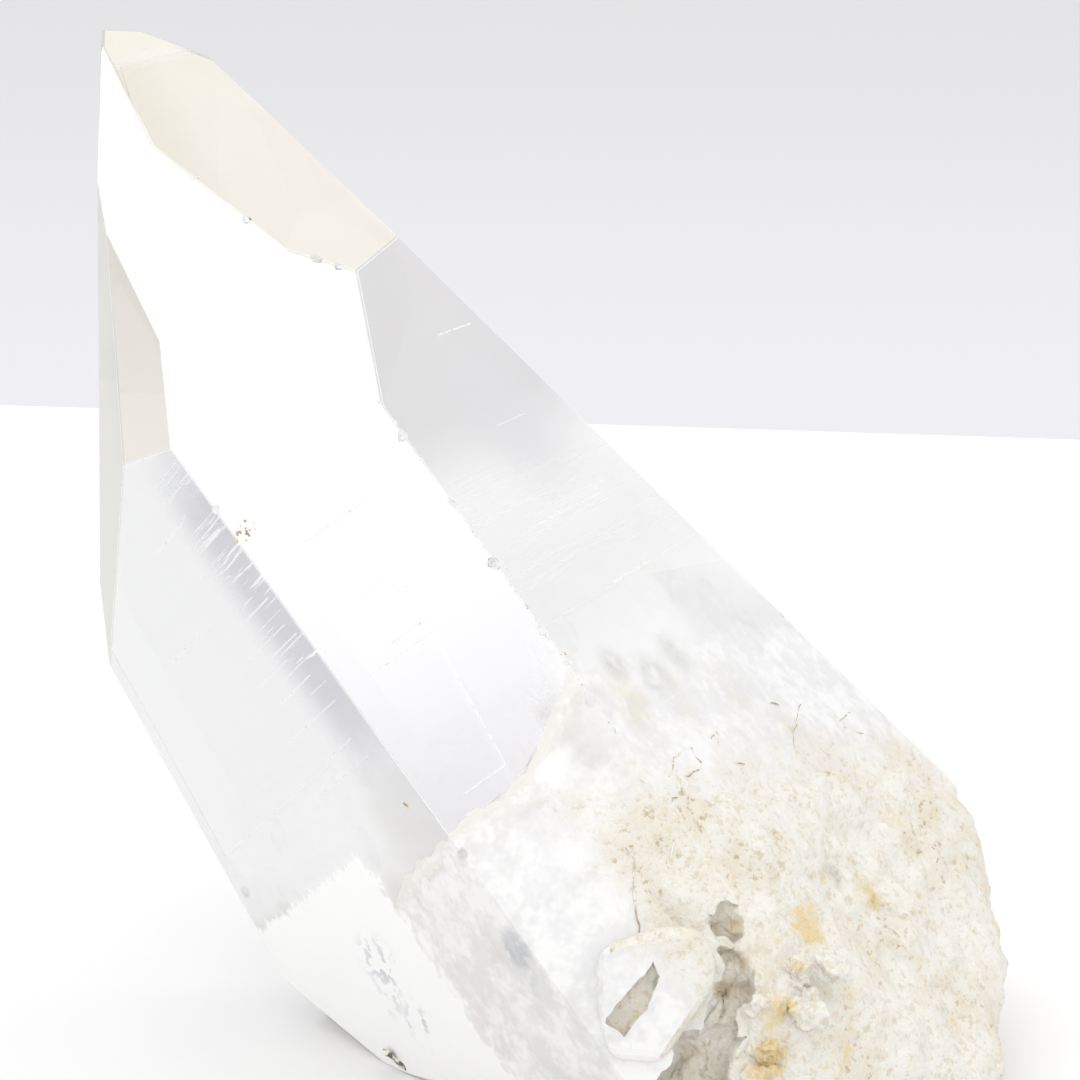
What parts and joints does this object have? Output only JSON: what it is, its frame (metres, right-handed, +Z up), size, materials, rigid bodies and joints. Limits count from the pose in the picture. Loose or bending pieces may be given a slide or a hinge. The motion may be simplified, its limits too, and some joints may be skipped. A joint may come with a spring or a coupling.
{
  "type": "natural quartz point",
  "caption": "Natural clear quartz point with a sloping, chisel-like tip, a small fused side crystal and a milky, pitted root; it stands leaning on a flat at its root.",
  "frame": {"origin": "on the resting surface, under the middle of the bounding box as the crystal stands", "axes": "+Z up from the resting surface; seen along +Y with +X to the right, the tip leans to the left and a little to the back"},
  "size_m": [0.088, 0.0806, 0.094],
  "materials": {
    "quartz": "clear, glossy natural crystal faces with fine growth lines, turning milky, rough and iron-stained at the root"
  },
  "bodies": {
    "root": {"quartz_point": "quartz"}
  },
  "joints": []
}
